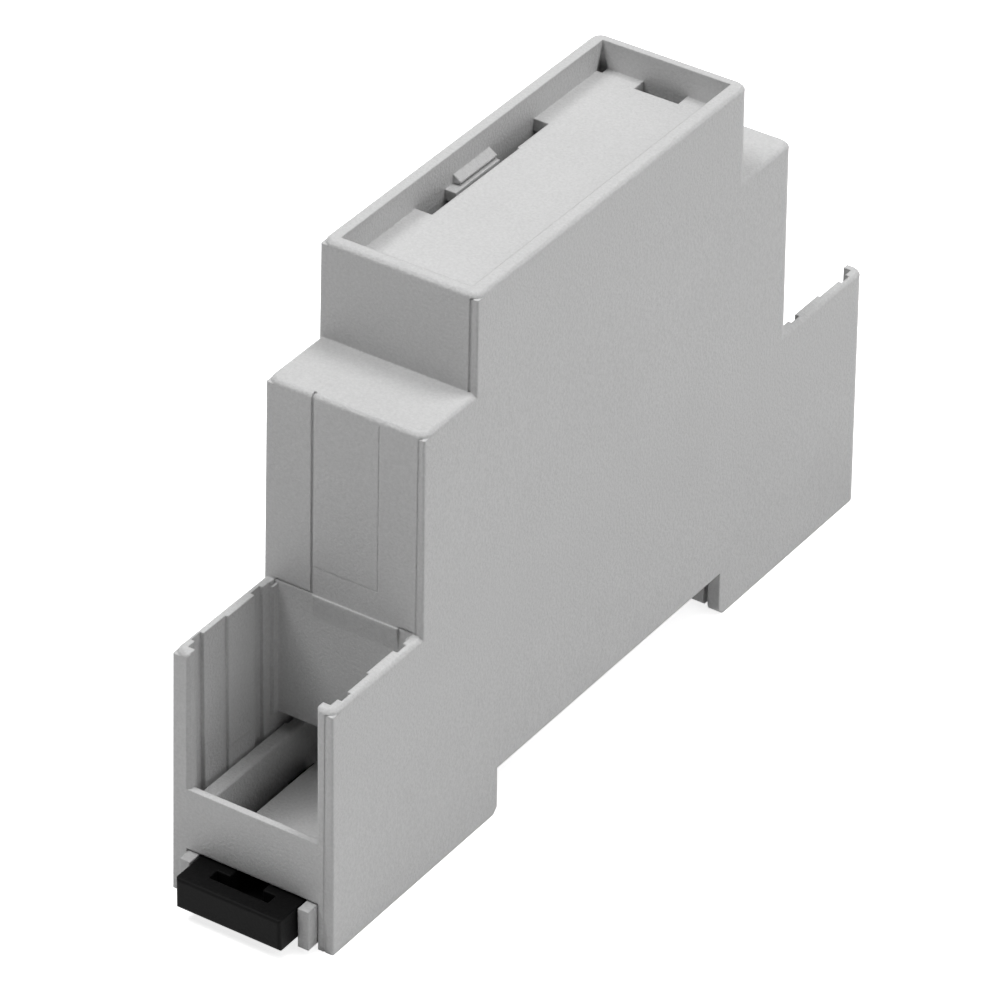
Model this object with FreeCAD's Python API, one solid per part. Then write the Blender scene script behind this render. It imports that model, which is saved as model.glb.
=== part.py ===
"""Narrow snap-together housing, one module wide, that clips onto a 35 mm mounting rail.

Three mouldings: a hood that carries the stepped outline, both wiring bays and the panel recess;
a base that closes it from below and rests on the rail; and a sliding rail clip in the base.
X runs along the housing, from the clip end to the far end. Y runs across it. Z points away from
the rail, and Z = 0 is the face that rests on the rail, under the middle of the housing.
"""
import FreeCAD, Part
import os

os.makedirs("parts", exist_ok=True)

# Outline of the hood; every height is measured from the face that rests on the rail.
# The outer walls lean in by half a degree, so each length and the width hold where the step starts.
body_length = 90.0
body_width = 17.8
foot_depth = 5.0
bay_wall_top = 21.5
shoulder_length = 61.5
shoulder_top = 42.8
nose_length = 44.8
rim_top = 53.0
wall_draft = 0.0087
near_edge_radius = 0.15
far_edge_radius = 1.25
rim_corner_radius = 1.2
rim_band = 0.5
rim_bevel = 0.36
rim_bevel_softening = 0.09

# Walls of the hood; those of the bays and the nose are measured at their tops
side_wall = 1.3
end_wall = 1.25
bay_side_wall = 1.15
partition_wall = 1.4
shoulder_roof = 1.4
nose_side_wall = 1.4
nose_end_wall = 1.15

# Panel recess in the nose, with a slot and a catch on one side and a notch at the far end
recess_depth = 2.9
recess_floor = 1.3
slot_near_end = -9.5
slot_far_end = 9.7
slot_width = 1.8
slot_jog_x = 4.6
slot_jog = 0.2
notch_width = 4.8
notch_depth = 1.6
catch_near_end = -3.5
catch_far_end = 2.4
catch_reach = 0.85
catch_rise = 0.6
catch_tip_rise = 0.05
catch_tip = 0.15
catch_shelf_lead = 1.3
catch_shelf_reach = 1.15
catch_shelf_drop = 0.35
catch_shelf_height = 1.1
corner_notch_inside = (0.9, 0.6)
corner_notch_outside = (0.4, 0.5)
corner_notch_rim = 0.3

# Wiring bays: thin places in the side walls, the cut-out for the wires, and the gap over the base
bay_land = (1.05, 0.95)
bay_outer_groove = (1.4, 0.5)
bay_outer_panel = (3.35, 0.87)
bay_inner_groove = (1.4, 0.68)
bay_inner_land = (1.0, 1.05)
bay_corner = (0.7, 1.5)
bay_step_foot = 3.0
post_width = 1.75
jamb_bevel = 0.2
sill_top = 6.65
sill_wall = 0.72
sill_step = 2.2
partition_foot = 7.0
partition_lip = 0.2
partition_lip_ends = (-6.0, 3.3)
partition_lip_edge = 0.3
partition_lip_taper = 2.5

# Fine lines on the end faces: a parting groove, the outline of a thin panel, and a line by one edge
parting_groove_y = 3.45
parting_groove_width = 0.3
parting_groove_depth = 0.16
panel_line_y = -3.7
panel_line_z = 24.5
panel_line_width = 0.14
panel_line_depth = 0.03
bay_seam_height = 0.18
bay_seam_depth = 0.12
edge_line_inset = 0.72
edge_line_width = 0.3
edge_line_depths = (0.05, 0.05, 0.12)

# Mounting rail and what grips it
rail_width = 35.0
rail_thickness = 1.0
near_rail_gap = 1.15
far_rail_gap = 2.1
grip_reach = 1.05
grip_clearance = 0.2
hook_thickness = 1.4
hook_width = 11.0
near_foot_chamfer = 0.6
far_foot_radius = 1.1

# Base
base_side_clearance = 0.5
base_end_clearance = 0.25
base_foot_rise = 0.6
base_wall = 1.15
base_wall_top = 4.8
bay_ledge_depth = 1.0
bay_ledge_clearance = 0.15
bay_ledge_bevel = 0.15
seat_plate = 1.5
board_slot_width = 1.8
board_slot_ends = (22.0, 42.3)
board_rib_height = 1.6
board_rib_length = 4.0
board_rib_thickness = 1.2
board_rib_x = 12.0
cross_rib = 1.0
cross_rib_count = 2
end_rib_height = 2.4

# Board guides and seats inside the hood
guide_depth = 1.6
guide_thickness = 1.15
seat_rib_x = 24.0
seat_rib_length = 1.3
seat_rib_height = 11.0

# Snaps between the hood and the base
snap_x = 14.0
snap_length = 4.0
snap_rise = 2.2
snap_height = 1.7
snap_tip = 0.4
snap_bite = 0.3
snap_pocket_depth = 0.5
snap_play = 0.2

# Rail clip and its channel
clip_side_play = 0.2
clip_height = 3.35
clip_top = -0.2
clip_roof_play = 0.25
clip_floor_play = 0.2
clip_handle_reach = 3.8
clip_handle_length = 9.8
clip_travel = 4.0
clip_edge_radius = 0.3
clip_channel_lip = 1.45
peg_reach = 1.3
peg_top = -0.15
peg_play = 0.15
end_opening_top = 0.05
slot_bar = (6.5, 1.3)
slot_stem = (3.6, 4.9)
slot_from_front = 1.7
slot_depth = 2.4
clip_arm_width = 1.1
clip_arm_gap = 0.2
clip_arm_length = 11.5
clip_barb_length = 2.5
clip_barb_reach = 1.1
clip_barb_height = 2.2
clip_window_play = 0.15
clip_tongue_width = 5.8
clip_head_width = 10.0
clip_head_length = 5.1
clip_neck_play = 0.15
clip_tooth_tip = 0.6

# Faces that several pieces share
half_length = body_length / 2
half_width = body_width / 2
half_shoulder = shoulder_length / 2
half_nose = nose_length / 2
foot_z = -foot_depth
bay_half_width = half_width - wall_draft * (bay_wall_top - foot_z)
bay_half_length = half_length - wall_draft * (bay_wall_top - foot_z)
rim_half_width = half_width - wall_draft * (rim_top - foot_z)
rim_half_length = half_nose - wall_draft * (rim_top - shoulder_top)
inner_y = half_width - side_wall
bay_inner_y = bay_half_width - bay_side_wall
nose_inner_y = rim_half_width - nose_side_wall
nose_inner_x = rim_half_length - nose_end_wall
cut_out_y = bay_half_width - post_width
sill_inner_x = half_length - wall_draft * (sill_top - foot_z) - sill_wall
recess_z = rim_top - recess_depth
recess_under = recess_z - recess_floor
inner_end_x = half_length - end_wall
partition_x = half_shoulder - partition_wall
notch_near_x = -(rail_width / 2 + near_rail_gap)
notch_far_x = rail_width / 2 + far_rail_gap
grip_x = rail_width / 2 - grip_reach
grip_z = -(rail_thickness + grip_clearance)
base_y = inner_y - base_side_clearance
base_x = inner_end_x - base_end_clearance
base_foot_z = foot_z + base_foot_rise
bay_ledge_y = bay_inner_y - bay_ledge_clearance
channel_y = base_y - base_wall
clip_y = channel_y - clip_side_play
clip_bottom = clip_top - clip_height
channel_roof = clip_top + clip_roof_play
channel_floor = clip_bottom - clip_floor_play
clip_front_x = -(half_length + clip_handle_reach)
board_inner_y = channel_y - board_slot_width

# How far a cutting shape runs past a face, and how near two places are to count as one
past = 5.0
same_place = 1e-6


def block(x, y, z):
    """A box between the two values of each range."""
    size = (x[1] - x[0], y[1] - y[0], z[1] - z[0])
    return Part.makeBox(*size, FreeCAD.Vector(x[0], y[0], z[0]))


def across(half):
    """The range of Y that lies within half of the middle plane."""
    return (-half, half)


def both_sides(shape):
    """The shape and its mirror image across the middle plane of the width."""
    return shape.fuse(shape.mirror(FreeCAD.Vector(0, 0, 0), FreeCAD.Vector(0, 1, 0)))


def both_ends(shape):
    """The shape and its mirror image across the middle plane of the length."""
    return shape.fuse(shape.mirror(FreeCAD.Vector(0, 0, 0), FreeCAD.Vector(1, 0, 0)))


def prism_xz(points, y):
    """A closed outline in X and Z, carried across the range of Y."""
    corners = [FreeCAD.Vector(px, y[0], pz) for px, pz in points]
    face = Part.Face(Part.makePolygon(corners + corners[:1]))
    return face.extrude(FreeCAD.Vector(0, y[1] - y[0], 0))


def prism_yz(points, x):
    """A closed outline in Y and Z, carried along the range of X."""
    corners = [FreeCAD.Vector(x[0], py, pz) for py, pz in points]
    face = Part.Face(Part.makePolygon(corners + corners[:1]))
    return face.extrude(FreeCAD.Vector(x[1] - x[0], 0, 0))


def prism_xy(points, z):
    """A closed outline in X and Y, carried up the range of Z."""
    corners = [FreeCAD.Vector(px, py, z[0]) for px, py in points]
    face = Part.Face(Part.makePolygon(corners + corners[:1]))
    return face.extrude(FreeCAD.Vector(0, 0, z[1] - z[0]))


def corner_edges(shape, end):
    """The edges between the side walls and the end wall on one side: end is -1 near and 1 far."""
    boxes = [(edge, edge.BoundBox) for edge in shape.Edges]
    tall = [(edge, box) for edge, box in boxes if box.ZLength > shape.BoundBox.ZLength / 2]
    return [edge for edge, box in tall if box.Center.x * end > 0]


def edges_at_height(shape, z):
    """The edges that lie in one horizontal plane."""
    boxes = [(edge, edge.BoundBox) for edge in shape.Edges]
    return [edge for edge, box in boxes if max(abs(box.ZMin - z), abs(box.ZMax - z)) < same_place]


def drafted_block(low, high, z):
    """A block whose half length and half width change evenly from the lower to the upper height."""
    side = [(-low[0], z[0]), (low[0], z[0]), (high[0], z[1]), (-high[0], z[1])]
    section = [(-low[1], z[0]), (low[1], z[0]), (high[1], z[1]), (-high[1], z[1])]
    return prism_xz(side, across(low[1] + past)).common(prism_yz(section, across(low[0] + past)))


def bevelled_band(half_x, half_y, z):
    """The band round a rim: round corners, and a bevel round its top whose own edges are softened."""
    shape = block(across(half_x), across(half_y), z)
    shape = shape.makeFillet(rim_corner_radius, corner_edges(shape, -1) + corner_edges(shape, 1))
    shape = shape.makeChamfer(rim_bevel, edges_at_height(shape, z[1]))
    bevel_edges = edges_at_height(shape, z[1]) + edges_at_height(shape, z[1] - rim_bevel)
    return shape.makeChamfer(rim_bevel_softening, bevel_edges)


def hood_step(half_length_there, there, top, inset=0.0):
    """One step of the hood, or the same form set in evenly from its faces.

    Its walls lean in, its near edges are almost sharp and its far edges round. The band on top of
    them has round corners all over. The half length is the one at the height called there.
    """
    z = (foot_z, top - rim_band - inset)
    halves = []
    for height in z:
        half_x = half_length_there - wall_draft * (height - there) - inset
        half_y = half_width - wall_draft * (height - foot_z) - inset
        halves.append((half_x, half_y))
    walls = drafted_block(halves[0], halves[1], z)
    walls = walls.makeFillet(near_edge_radius, corner_edges(walls, -1))
    walls = walls.makeFillet(far_edge_radius, corner_edges(walls, 1))
    return walls.fuse(bevelled_band(halves[1][0], halves[1][1], (z[1], z[1] + rim_band)))


def bay_step(inset=0.0):
    """The lowest and longest step, which holds both wiring bays."""
    return hood_step(half_length, foot_z, bay_wall_top, inset)


def shoulder_step(inset=0.0):
    """The middle step."""
    return hood_step(half_shoulder, bay_wall_top, shoulder_top, inset)


def nose_step(inset=0.0):
    """The highest step."""
    return hood_step(half_nose, shoulder_top, rim_top, inset)


def hood_inside():
    """The space for the circuit board under the shoulders and the nose, open below."""
    low = foot_z - past
    under_shoulders = block(across(partition_x), across(inner_y), (low, shoulder_top - shoulder_roof))
    under_nose = block(across(nose_inner_x), across(nose_inner_y), (low, recess_under))
    under_partitions = block(across(inner_end_x), across(inner_y), (low, partition_foot))
    return under_shoulders.fuse([under_nose, under_partitions])


def wire_cut_outs():
    """The openings for the wires through both end walls, from a thin sill up, bevelled at the mouth."""
    mouth = bay_half_length - jamb_bevel
    outline = [
        (inner_end_x - past, -cut_out_y),
        (mouth, -cut_out_y),
        (mouth + past, -cut_out_y - past),
        (mouth + past, cut_out_y + past),
        (mouth, cut_out_y),
        (inner_end_x - past, cut_out_y),
    ]
    mouths = prism_xy(outline, (sill_top, bay_wall_top + past))
    behind = block(
        (inner_end_x - past, sill_inner_x), across(cut_out_y), (sill_top - sill_step, sill_top)
    )
    return both_ends(mouths.fuse(behind))


def bay_spaces():
    """Both wiring bays, with the stepped thin places of their side walls."""
    top = bay_wall_top + past
    room = block((half_shoulder, inner_end_x), across(bay_inner_y), (partition_foot - past, top))
    cuts = [room]
    outer = inner_end_x
    for length, thickness in (bay_land, bay_outer_groove, bay_outer_panel):
        cuts.append(thin_place((outer - length, outer), thickness))
        outer -= length
    inner = half_shoulder + bay_corner[0]
    for length, thickness in (bay_inner_land, bay_inner_groove):
        cuts.append(thin_place((inner, inner + length), thickness))
        inner += length
    return both_ends(cuts[0].fuse(cuts[1:]))


def thin_place(x, thickness):
    """What is cut from both side walls of a bay to leave them this thick."""
    y = (0, bay_half_width - thickness)
    return both_sides(block(x, y, (bay_step_foot, bay_wall_top + past)))


def bay_corners():
    """The thicker wall in the inner corners of both bays."""
    x = (half_shoulder - partition_wall / 2, half_shoulder + bay_corner[0])
    y = (bay_half_width - bay_corner[1], bay_half_width - bay_side_wall / 2)
    return both_ends(both_sides(block(x, y, (partition_foot, bay_wall_top - rim_bevel))))


def partition_lips():
    """The lip along each bay's back wall at the height of the bay walls, which tapers away below."""
    face = half_shoulder
    root = half_shoulder - partition_wall / 2
    low = bay_wall_top - partition_lip_taper
    outline = [
        (root, low),
        (face, low),
        (face + partition_lip, bay_wall_top - partition_lip_edge),
        (face + partition_lip, bay_wall_top),
        (root, bay_wall_top),
    ]
    return both_ends(prism_xz(outline, partition_lip_ends))


def shoulder_lines():
    """Shallow lines that follow the shoulder faces: the parting groove, a panel outline and a seam."""
    middle = half_shoulder - past
    groove = block(
        (half_shoulder - 2 * rim_bevel, half_shoulder + past),
        (parting_groove_y - parting_groove_width / 2, parting_groove_y + parting_groove_width / 2),
        (bay_wall_top, shoulder_top + past),
    )
    upright = block(
        (middle, half_shoulder + past),
        (panel_line_y - panel_line_width / 2, panel_line_y + panel_line_width / 2),
        (panel_line_z, shoulder_top - 2 * rim_bevel),
    )
    level = block(
        (middle, half_shoulder + past),
        (panel_line_y, parting_groove_y),
        (panel_line_z - panel_line_width / 2, panel_line_z + panel_line_width / 2),
    )
    seam_z = (bay_wall_top, bay_wall_top + bay_seam_height)
    left_seam = block((middle, half_shoulder + past), (partition_lip_ends[1], inner_y), seam_z)
    right_seam = block((middle, half_shoulder + past), (-inner_y, partition_lip_ends[0]), seam_z)
    outside = shoulder_step()
    cuts = [
        outside.cut(shoulder_step(parting_groove_depth)).common(groove),
        outside.cut(shoulder_step(panel_line_depth)).common(upright.fuse(level)),
        outside.cut(shoulder_step(bay_seam_depth)).common(left_seam.fuse(right_seam)),
    ]
    return both_ends(cuts[0].fuse(cuts[1:]))


def edge_lines():
    """A shallow line down each near end face, close beside its right edge."""
    lines = []
    steps = (
        (bay_step, bay_half_width, foot_z, bay_wall_top),
        (shoulder_step, bay_half_width, bay_wall_top, shoulder_top),
        (nose_step, rim_half_width, shoulder_top, rim_top),
    )
    for (step, half_y, low, top), depth in zip(steps, edge_line_depths):
        right = edge_line_inset - half_y
        y = (right - edge_line_width / 2, right + edge_line_width / 2)
        line = block((-half_length - past, 0), y, (low, top - rim_band))
        lines.append(step().cut(step(depth)).common(line))
    return lines[0].fuse(lines[1:])


def panel_recess():
    """The recess for a front panel, with the side slot and the end notch through its floor."""
    recess = block(across(nose_inner_x), across(nose_inner_y), (recess_z, rim_top + past))
    through = (recess_under - past, recess_z + past)
    slot_y = (nose_inner_y - slot_width, nose_inner_y)
    wide = block((slot_near_end, slot_jog_x), slot_y, through)
    narrow = block((slot_jog_x, slot_far_end), (slot_y[0] + slot_jog, slot_y[1]), through)
    notch = block((nose_inner_x - notch_depth, nose_inner_x), across(notch_width / 2), through)
    return recess.fuse([wide, narrow, notch, corner_notch()])


def corner_notch():
    """The notch in one far corner of the recess, which widens downwards and goes through the floor."""
    outlines = []
    corner = (nose_inner_x, nose_inner_y)
    low = recess_under - recess_floor
    for place, inside, outside in zip(corner, corner_notch_inside, corner_notch_outside):
        outlines.append([
            (place, rim_top - corner_notch_rim),
            (place - inside, recess_z),
            (place - inside, low),
            (place + outside, low),
            (place + outside, recess_z),
        ])
    along = prism_xz(outlines[0], (nose_inner_y - past, nose_inner_y + past))
    return along.common(prism_yz(outlines[1], (nose_inner_x - past, nose_inner_x + past)))


def panel_catch():
    """The catch for a front panel: a shelf on the slot's outer wall, with a hooked wedge on it."""
    root = nose_inner_y + nose_side_wall / 2
    shelf_top = recess_z - catch_shelf_drop
    tip_y = nose_inner_y - catch_reach
    tip_z = recess_z + catch_tip_rise
    outline = [
        (root, shelf_top),
        (root, recess_z + catch_rise),
        (nose_inner_y, recess_z + catch_rise),
        (tip_y, tip_z),
        (tip_y, tip_z - catch_tip),
        (nose_inner_y, shelf_top),
    ]
    wedge = prism_yz(outline, (catch_near_end, catch_far_end))
    shelf = block(
        (catch_near_end - catch_shelf_lead, catch_far_end),
        (nose_inner_y - catch_shelf_reach, root),
        (shelf_top - catch_shelf_height, shelf_top),
    )
    return wedge.fuse(shelf)


def rail_notch():
    """The gap for the rail between the feet, with broken lower corners."""
    near = notch_near_x
    far = notch_far_x
    y = across(half_width + past)
    gap = block((near, far), y, (foot_z - past, 0))
    near_corner = prism_xz(
        [(near - near_foot_chamfer, foot_z), (near, foot_z), (near, foot_z + near_foot_chamfer)], y
    )
    return gap.fuse([near_corner, foot_corner(far, foot_z, far_foot_radius, y)])


def foot_corner(x, z, radius, y):
    """What is cut from a lower corner that points to -X, at the given place, to round it."""
    corner = block((x, x + radius), y, (z, z + radius))
    centre = FreeCAD.Vector(x + radius, y[0], z + radius)
    roller = Part.makeCylinder(radius, y[1] - y[0], centre, FreeCAD.Vector(0, 1, 0))
    return corner.cut(roller)


def clip_opening():
    """The opening under the near end wall for the clip and the ends of its channel."""
    x = (-half_length - past, -inner_end_x)
    return block(x, across(base_y + peg_play), (foot_z - past, end_opening_top))


def board_guides():
    """Pairs of upright ribs on both partition walls, which hold the edges of the board."""
    low, high = board_inner_y, channel_y
    x = (partition_x - guide_depth, partition_x + partition_wall / 2)
    z = (partition_foot, shoulder_top - shoulder_roof / 2)
    inner = block(x, (low - guide_thickness, low), z)
    outer = block(x, (high, high + guide_thickness), z)
    return both_ends(inner.fuse(outer))


def seat_ribs():
    """Short ribs inside the side walls that stand on the walls of the base."""
    x = (seat_rib_x - seat_rib_length / 2, seat_rib_x + seat_rib_length / 2)
    y = (channel_y + base_wall / 2, inner_y + side_wall / 2)
    return both_ends(both_sides(block(x, y, (base_wall_top, base_wall_top + seat_rib_height))))


def snap_pockets():
    """Blind pockets inside the side walls for the snaps of the base."""
    x = (snap_x - snap_length / 2 - snap_play, snap_x + snap_length / 2 + snap_play)
    y = (inner_y - side_wall, inner_y + snap_pocket_depth)
    z = (snap_rise - snap_play, snap_rise + snap_height + snap_play)
    return both_ends(both_sides(block(x, y, z)))


def make_hood():
    """The hood as one thin-walled moulding, open below."""
    hollows = [bay_spaces(), wire_cut_outs(), panel_recess(), rail_notch(), clip_opening()]
    outside = bay_step().fuse([shoulder_step(), nose_step()])
    hood = outside.cut(hood_inside().fuse(hollows))
    hood = hood.fuse([bay_corners(), partition_lips(), panel_catch(), board_guides(), seat_ribs()])
    hood = hood.cut(shoulder_lines().fuse([edge_lines(), snap_pockets()]))
    return hood.removeSplitter()


def base_walls():
    """Both long walls of the base: the ledges in the bays and the sides of the clip's channel."""
    near_foot = block((-base_x, notch_near_x), (channel_y, base_y), (base_foot_z, base_wall_top))
    over_rail = block((notch_near_x, notch_far_x), (channel_y, base_y), (0, base_wall_top))
    far_foot = block((notch_far_x, base_x), (channel_y, base_y), (base_foot_z, base_wall_top))
    peg = block((-half_length - peg_reach, -base_x), (channel_y, base_y), (base_foot_z, peg_top))
    return both_sides(near_foot.fuse([over_rail, far_foot, peg]))


def bay_ledges():
    """The top of each long wall in the bays, which is wider, so that it closes the gap to the hood."""
    x = (partition_x, base_x)
    y = (channel_y + base_wall / 2, bay_ledge_y)
    return both_ends(both_sides(block(x, y, (base_wall_top - bay_ledge_depth, base_wall_top))))


def ledge_bevels():
    """What breaks the inner top edges of both long walls."""
    outline = [
        (channel_y - past, base_wall_top + past),
        (channel_y - past, base_wall_top - bay_ledge_bevel - past),
        (channel_y + bay_ledge_bevel + past, base_wall_top + past),
    ]
    return both_sides(prism_yz(outline, across(base_x + past)))


def base_floor():
    """The seat over the rail, and the thinner roof of the clip's channel."""
    seat = block((notch_near_x, base_x), across(channel_y), (0, seat_plate))
    roof = block((-base_x, notch_near_x), across(channel_y), (channel_roof, seat_plate))
    slot = block(board_slot_ends, (board_inner_y, channel_y), (-past, seat_plate + past))
    return seat.fuse(roof).cut(both_ends(slot))


def board_ribs():
    """Low ribs on the floor, level with the slots, that keep the board against the wall."""
    x = (board_rib_x - board_rib_length / 2, board_rib_x + board_rib_length / 2)
    y = (board_inner_y - board_rib_thickness, board_inner_y)
    return both_ends(block(x, y, (seat_plate / 2, seat_plate + board_rib_height)))


def end_ribs():
    """A low rib across the floor at each end, behind the wire cut-outs."""
    x = (base_x - cross_rib, base_x)
    return both_ends(block(x, across(channel_y), (seat_plate / 2, seat_plate + end_rib_height)))


def near_foot_rails():
    """The lips that carry the clip, and the bar that closes the channel beside the rail."""
    z = (base_foot_z, channel_floor)
    lip = block((-base_x, notch_near_x), (channel_y - clip_channel_lip, channel_y), z)
    bar = block((notch_near_x - base_wall, notch_near_x), across(channel_y), z)
    return both_sides(lip).fuse(bar)


def clip_windows():
    """Windows in the channel's walls, in which the barbs of the clip run and stop."""
    barb_end = clip_front_x + clip_handle_length + clip_arm_length
    x = (barb_end - clip_barb_length - clip_travel - clip_window_play, barb_end + clip_window_play)
    middle = (clip_top + clip_bottom) / 2
    half = clip_barb_height / 2 + clip_window_play
    return both_sides(block(x, (channel_y - base_wall, base_y + past), (middle - half, middle + half)))


def far_foot():
    """Cross walls in the far foot, and the fixed hook that takes the rail's far edge."""
    z = (base_foot_z, seat_plate / 2)
    near_wall = block((notch_far_x, notch_far_x + base_wall), across(channel_y), z)
    end = block((base_x - base_wall, base_x), across(channel_y), z)
    walls = [near_wall, end]
    pitch = (base_x - notch_far_x) / (cross_rib_count + 1)
    for number in range(cross_rib_count):
        x = notch_far_x + (number + 1) * pitch
        rib_z = (base_foot_z + cross_rib, seat_plate / 2)
        walls.append(block((x - cross_rib / 2, x + cross_rib / 2), across(channel_y), rib_z))
    tip = hook_thickness / 2
    hook = prism_xz(
        [
            (notch_far_x + base_wall / 2, grip_z),
            (grip_x, grip_z),
            (grip_x, grip_z - hook_thickness + tip),
            (grip_x + tip, grip_z - hook_thickness),
            (notch_far_x + base_wall / 2, grip_z - hook_thickness),
        ],
        across(hook_width / 2),
    )
    return walls[0].fuse(walls[1:] + [hook])


def base_snaps():
    """Ramped snaps on the long walls, which click into the pockets of the hood."""
    reach = base_y + base_side_clearance + snap_bite
    ramp = [
        (base_y - base_wall / 2, snap_rise),
        (reach, snap_rise),
        (reach, snap_rise + snap_tip),
        (base_y, snap_rise + snap_height),
        (base_y - base_wall / 2, snap_rise + snap_height),
    ]
    return both_ends(both_sides(prism_yz(ramp, (snap_x - snap_length / 2, snap_x + snap_length / 2))))


def make_base():
    """The base as one moulding: seat, ledges, clip channel, far foot and hook."""
    long_walls = base_walls().fuse(bay_ledges()).cut(ledge_bevels())
    inner_parts = [base_floor(), board_ribs(), end_ribs(), near_foot_rails(), far_foot(), base_snaps()]
    base = long_walls.fuse(inner_parts)
    corner = foot_corner(notch_far_x, base_foot_z, far_foot_radius - base_foot_rise, across(base_y))
    return base.cut([clip_windows(), corner]).removeSplitter()


def clip_handle():
    """The flat grip at the front, with rounded outer edges."""
    x = (clip_front_x, clip_front_x + clip_handle_length)
    handle = block(x, across(clip_y), (clip_bottom, clip_top))
    front_edges = [edge for edge in handle.Edges if abs(edge.BoundBox.XMax - clip_front_x) < same_place]
    return handle.makeFillet(clip_edge_radius, front_edges)


def screwdriver_slot():
    """The T-shaped slot in the top of the grip."""
    front = clip_front_x + slot_from_front
    z = (clip_top - slot_depth, clip_top + past)
    bar = block((front, front + slot_bar[1]), across(slot_bar[0] / 2), z)
    stem = block((front, front + slot_stem[1]), across(slot_stem[0] / 2), z)
    return bar.fuse(stem)


def clip_arms():
    """The two spring arms, each with a barb whose back is a ramp."""
    root = clip_front_x + clip_handle_length
    end = root + clip_arm_length
    outer = clip_y - clip_arm_gap
    arm = block((root - clip_arm_width, end), (outer - clip_arm_width, outer), (clip_bottom, clip_top))
    middle = (clip_top + clip_bottom) / 2
    barb = prism_xy(
        [
            (end - clip_barb_length, outer - clip_arm_width / 2),
            (end - clip_barb_length, outer + clip_barb_reach),
            (end - clip_barb_length / 2, outer + clip_barb_reach),
            (end, outer),
            (end, outer - clip_arm_width / 2),
        ],
        (middle - clip_barb_height / 2, middle + clip_barb_height / 2),
    )
    return both_sides(arm.fuse(barb))


def clip_tongue():
    """The tongue between the arms and the cross head, whose tooth goes under the rail's near edge."""
    root = clip_front_x + clip_handle_length
    neck_x = notch_near_x - clip_neck_play
    head_x = -grip_x - clip_head_length
    x = (root - clip_arm_width, head_x + clip_arm_width)
    tongue = block(x, across(clip_tongue_width / 2), (clip_bottom, clip_top))
    ramp = grip_z - clip_bottom
    head = prism_xz(
        [
            (head_x, clip_bottom),
            (head_x, clip_top),
            (neck_x, clip_top),
            (neck_x, grip_z),
            (-grip_x, grip_z),
            (-grip_x, grip_z - clip_tooth_tip),
            (-grip_x - ramp, clip_bottom),
        ],
        across(clip_head_width / 2),
    )
    return tongue.fuse(head)


def make_clip():
    """The rail clip as one moulding."""
    clip = clip_handle().fuse([clip_arms(), clip_tongue()])
    return clip.cut(screwdriver_slot()).removeSplitter()


def single_solid(shape):
    """The shape's only solid; a moulding in several pieces would be a mistake."""
    solids = shape.Solids
    if len(solids) != 1:
        raise ValueError("a moulding came out as %d solids" % len(solids))
    return solids[0]


parts = {"housing_hood": make_hood(), "housing_base": make_base(), "rail_clip": make_clip()}
for name, shape in parts.items():
    solid = single_solid(shape)
    solid.exportStep("parts/%s.step" % name)
    box = solid.BoundBox
    print(name, "valid" if solid.isValid() else "not valid", "volume %.1f" % solid.Volume, box)
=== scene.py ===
"""Looks of a narrow snap-together housing for a mounting rail: plastics, floor, light and camera.

The housing stands on its feet. X runs along it from the clip end, Y across it, Z up, in metres.
"""
import math

import bpy
import numpy as np
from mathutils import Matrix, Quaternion, Vector


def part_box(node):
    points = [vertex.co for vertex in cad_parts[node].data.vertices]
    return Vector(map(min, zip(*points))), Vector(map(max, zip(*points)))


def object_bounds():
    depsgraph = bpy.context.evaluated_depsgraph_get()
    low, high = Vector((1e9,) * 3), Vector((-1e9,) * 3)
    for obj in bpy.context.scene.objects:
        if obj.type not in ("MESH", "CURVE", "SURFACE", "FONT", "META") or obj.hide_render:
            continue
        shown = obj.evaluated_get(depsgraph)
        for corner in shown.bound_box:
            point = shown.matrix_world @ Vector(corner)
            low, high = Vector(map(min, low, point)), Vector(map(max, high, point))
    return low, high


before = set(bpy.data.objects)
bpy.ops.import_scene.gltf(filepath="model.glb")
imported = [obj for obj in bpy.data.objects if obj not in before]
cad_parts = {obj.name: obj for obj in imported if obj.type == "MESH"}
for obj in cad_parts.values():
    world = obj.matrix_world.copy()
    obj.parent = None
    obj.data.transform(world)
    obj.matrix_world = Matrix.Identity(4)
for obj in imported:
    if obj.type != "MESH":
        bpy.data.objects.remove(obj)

cad_low, cad_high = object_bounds()
floor_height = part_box("housing_hood")[0].z

# Camera: where it stands, the point its axis passes through, its roll and its lens
camera_place = (-0.4430, -0.2871, 0.3735)
camera_aim = (-0.00480, 0.00045, 0.01844)
camera_roll = math.radians(1.015)
camera_lens_mm = 246.6
camera_sensor_mm = 36.0
camera_nearest = 0.01
camera_farthest = 50.0

# Light: each soft box has a place, the length of its square side, and its power in watts
soft_boxes = {
    "overhead_box": ((0.0, -0.02, 1.2), 0.5, 1.3),
    "high_far_side_box": ((-0.37, 0.48, 1.08), 0.5, 7.3),
    "high_near_side_box": ((0.25, -0.3, 1.15), 0.35, 5.6),
    "far_end_box": ((0.7, -0.7, 0.9), 0.8, 1.9),
    "side_box": ((0.0, -0.9, 0.8), 0.8, 2.1),
}

# Surround: pure white where it is seen, and the faint even light that it casts on the housing
white = (1.0, 1.0, 1.0, 1.0)
surround_seen = 1.0
surround_cast = 0.01

# Floor: its disc, what the camera and reflections see of it, and how much light it throws back
floor_radius = 4.0
floor_rings = 4
floor_spokes = 64
floor_seen = (0.93, 0.93, 0.93, 1.0)
floor_lift = 0.8
floor_bounce = (0.68, 0.68, 0.68, 1.0)

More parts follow.
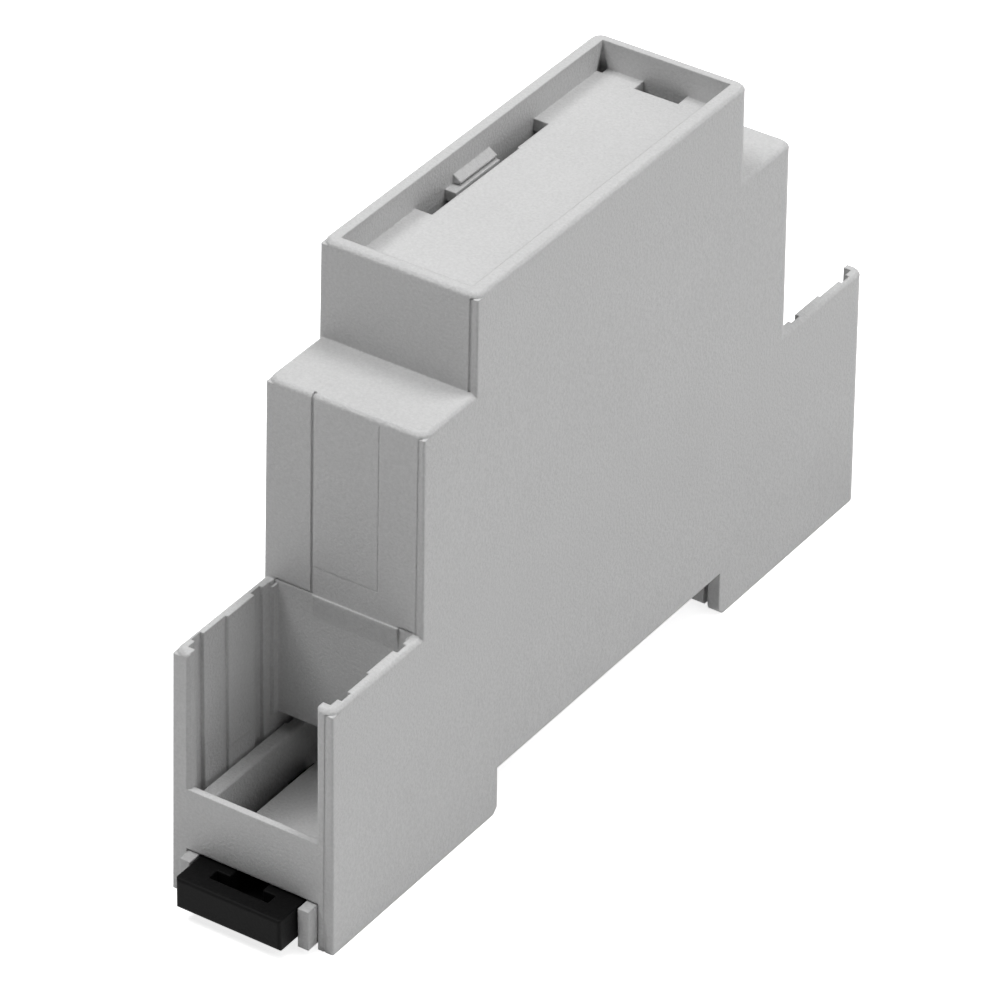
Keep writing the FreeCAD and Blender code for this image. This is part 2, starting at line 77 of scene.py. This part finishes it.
# Finishes: the grain of the mould's sparked surface, and the softness of its sharp edges
grain_size = 0.00029
grain_sharpness = 0.6
grain_contrast = (0.25, 0.75)
cloud_size = 40 * grain_size
noise_detail = 2.0
edge_softness = 0.00025
edge_samples = 8
light_grey = {
    "colour": (0.6, 0.6, 0.6),
    "mottle": 0.07,
    "roughness": 0.45,
    "shine": 0.4,
    "grain_depth": 0.00006,
}
black = {
    "colour": (0.004, 0.004, 0.0041),
    "mottle": 0.2,
    "roughness": 0.5,
    "shine": 0.06,
    "grain_depth": 0.00002,
}


def aim(thing, target, roll=0.0):
    """Turns a lamp or the camera so that its own -Z axis points at the target, and then rolls it."""
    direction = Vector(target) - thing.location
    thing.rotation_mode = "QUATERNION"
    thing.rotation_quaternion = direction.to_track_quat("-Z", "Y") @ Quaternion((0, 0, 1), roll)


def add_camera():
    """The camera at the photograph's viewing angle."""
    data = bpy.data.cameras.new("camera")
    data.lens = camera_lens_mm
    data.sensor_width = camera_sensor_mm
    data.clip_start = camera_nearest
    data.clip_end = camera_farthest
    camera = bpy.data.objects.new("camera", data)
    bpy.context.scene.collection.objects.link(camera)
    camera.location = camera_place
    aim(camera, camera_aim, camera_roll)
    bpy.context.scene.camera = camera


def add_soft_boxes():
    """Square lamps, all aimed at the middle of the housing."""
    for name, (place, side, watts) in soft_boxes.items():
        data = bpy.data.lights.new(name, "AREA")
        data.shape = "SQUARE"
        data.size = side
        data.energy = watts
        lamp = bpy.data.objects.new(name, data)
        bpy.context.scene.collection.objects.link(lamp)
        lamp.location = place
        aim(lamp, (cad_low + cad_high) / 2)


class Nodes:
    """A short way to add shader nodes to one tree and to join them."""

    def __init__(self, tree):
        self.tree = tree
        tree.nodes.clear()

    def put(self, socket, value):
        """Sets an input to a value, or joins it to an output."""
        if isinstance(value, bpy.types.NodeSocket):
            self.tree.links.new(value, socket)
        else:
            socket.default_value = value

    def add(self, kind, settings=(), **inputs):
        """A node with its settings, and with its inputs given by name."""
        node = self.tree.nodes.new(kind)
        for name, value in dict(settings).items():
            setattr(node, name, value)
        for name, value in inputs.items():
            self.put(node.inputs[name.replace("_", " ")], value)
        return node

    def combine(self, operation, first, second):
        """The number that a Math node makes of two others."""
        node = self.add("ShaderNodeMath", {"operation": operation})
        self.put(node.inputs[0], first)
        self.put(node.inputs[1], second)
        return node.outputs[0]

    def spread(self, value, low, high, contrast=(0.0, 1.0)):
        """Maps a noise value onto low to high: the two ends of contrast become low and high."""
        node = self.add("ShaderNodeMapRange", Value=value, From_Min=contrast[0], From_Max=contrast[1])
        self.put(node.inputs["To Min"], low)
        self.put(node.inputs["To Max"], high)
        return node.outputs[0]


def seen_directly(nodes):
    """1 for camera, glossy and transmission rays, and 0 for the rays that light the object."""
    path = nodes.add("ShaderNodeLightPath")
    either = nodes.combine("MAXIMUM", path.outputs["Is Camera Ray"], path.outputs["Is Glossy Ray"])
    return nodes.combine("MAXIMUM", either, path.outputs["Is Transmission Ray"])


def set_world():
    """White where it is seen, and an even plain surround for the light that falls on the object."""
    world = bpy.data.worlds.new("surround")
    bpy.context.scene.world = world
    world.use_nodes = True
    nodes = Nodes(world.node_tree)
    level = nodes.add("ShaderNodeMix", {"data_type": "FLOAT"}, Factor=seen_directly(nodes))
    nodes.put(level.inputs["A"], surround_cast)
    nodes.put(level.inputs["B"], surround_seen)
    background = nodes.add("ShaderNodeBackground", Color=white, Strength=level.outputs[0])
    nodes.add("ShaderNodeOutputWorld", Surface=background.outputs[0])


def floor_disc():
    """A flat disc: its points are radius times the cosine and sine of an angle, ring by ring."""
    rings = np.linspace(0.0, floor_radius, floor_rings + 1)[1:]
    turns = np.linspace(0.0, 2 * np.pi, floor_spokes, endpoint=False)
    radius, angle = np.meshgrid(rings, turns, indexing="ij")
    height = np.full_like(radius, floor_height)
    points = np.stack([radius * np.cos(angle), radius * np.sin(angle), height], -1)
    points = np.vstack([[[0.0, 0.0, floor_height]], points.reshape(-1, 3)])
    here = np.arange(floor_spokes)
    after = np.roll(here, -1)
    faces = [(0, 1 + a, 1 + b) for a, b in zip(here, after)]
    for ring in range(floor_rings - 1):
        inner = 1 + ring * floor_spokes
        outer = inner + floor_spokes
        faces += [(inner + a, outer + a, outer + b, inner + b) for a, b in zip(here, after)]
    mesh = bpy.data.meshes.new("floor")
    mesh.from_pydata(points.tolist(), [], faces)
    return mesh


def pale_paint():
    """The floor's paint: matt, and lifted towards white only where it is seen."""
    material = bpy.data.materials.new("pale_floor")
    material.use_nodes = True
    nodes = Nodes(material.node_tree)
    seen = seen_directly(nodes)
    colour = nodes.add("ShaderNodeMix", {"data_type": "RGBA"})
    factor, bounced, shown = (colour.inputs[place] for place in (0, 6, 7))
    nodes.put(factor, seen)
    nodes.put(bounced, floor_bounce)
    nodes.put(shown, floor_seen)
    paint = nodes.add("ShaderNodeBsdfDiffuse", Color=colour.outputs[2])
    glow = nodes.add("ShaderNodeEmission", Strength=nodes.combine("MULTIPLY", seen, floor_lift))
    both = nodes.add("ShaderNodeAddShader")
    nodes.put(both.inputs[0], paint.outputs[0])
    nodes.put(both.inputs[1], glow.outputs[0])
    nodes.add("ShaderNodeOutputMaterial", Surface=both.outputs[0])
    return material


def add_floor():
    """The pale floor that the feet stand on."""
    floor = bpy.data.objects.new("floor", floor_disc())
    bpy.context.scene.collection.objects.link(floor)
    floor.data.materials.append(pale_paint())


def moulded_plastic(name, colour, mottle, roughness, shine, grain_depth):
    """Plastic from a spark-eroded mould.

    Two sizes of noise in object coordinates make the grain: it lifts the surface by grain_depth and
    lightens or darkens the colour by up to the share given as mottle. A bevel in the shading rounds
    the sharp edges of the moulding by edge_softness.
    """
    material = bpy.data.materials.new(name)
    material.use_nodes = True
    nodes = Nodes(material.node_tree)
    place = nodes.add("ShaderNodeTexCoord").outputs["Object"]
    grain = nodes.add("ShaderNodeTexNoise", Vector=place, Scale=1 / grain_size, Detail=noise_detail)
    nodes.put(grain.inputs["Roughness"], grain_sharpness)
    cloud = nodes.add("ShaderNodeTexNoise", Vector=place, Scale=1 / cloud_size, Detail=noise_detail)
    tone = nodes.spread(grain.outputs["Fac"], 1 - mottle, 1 + mottle, grain_contrast)
    drift = nodes.spread(cloud.outputs["Fac"], 1 - mottle / 2, 1 + mottle / 2)
    tinted = nodes.add("ShaderNodeVectorMath", {"operation": "SCALE"})
    nodes.put(tinted.inputs[0], colour)
    nodes.put(tinted.inputs["Scale"], nodes.combine("MULTIPLY", tone, drift))
    edges = nodes.add("ShaderNodeBevel", {"samples": edge_samples}, Radius=edge_softness)
    relief = nodes.add("ShaderNodeBump", Distance=grain_depth, Normal=edges.outputs[0])
    nodes.put(relief.inputs["Height"], grain.outputs["Fac"])
    surface = nodes.add("ShaderNodeBsdfPrincipled", Base_Color=tinted.outputs[0], Normal=relief.outputs[0])
    surface.inputs["Roughness"].default_value = roughness
    surface.inputs["Specular IOR Level"].default_value = shine
    nodes.add("ShaderNodeOutputMaterial", Surface=surface.outputs[0])
    return material


def dress(node, material):
    """Gives a CAD node its finish."""
    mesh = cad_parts[node].data
    mesh.materials.clear()
    mesh.materials.append(material)


def dress_nodes():
    """The light grey of both housing mouldings, and the near-black of the clip."""
    grey_plastic = moulded_plastic("light_grey_plastic", **light_grey)
    black_plastic = moulded_plastic("black_plastic", **black)
    dress("housing_hood", grey_plastic)
    dress("housing_base", grey_plastic)
    dress("rail_clip", black_plastic)


bpy.context.scene.view_settings.view_transform = "Standard"
add_camera()
set_world()
add_soft_boxes()
add_floor()
dress_nodes()
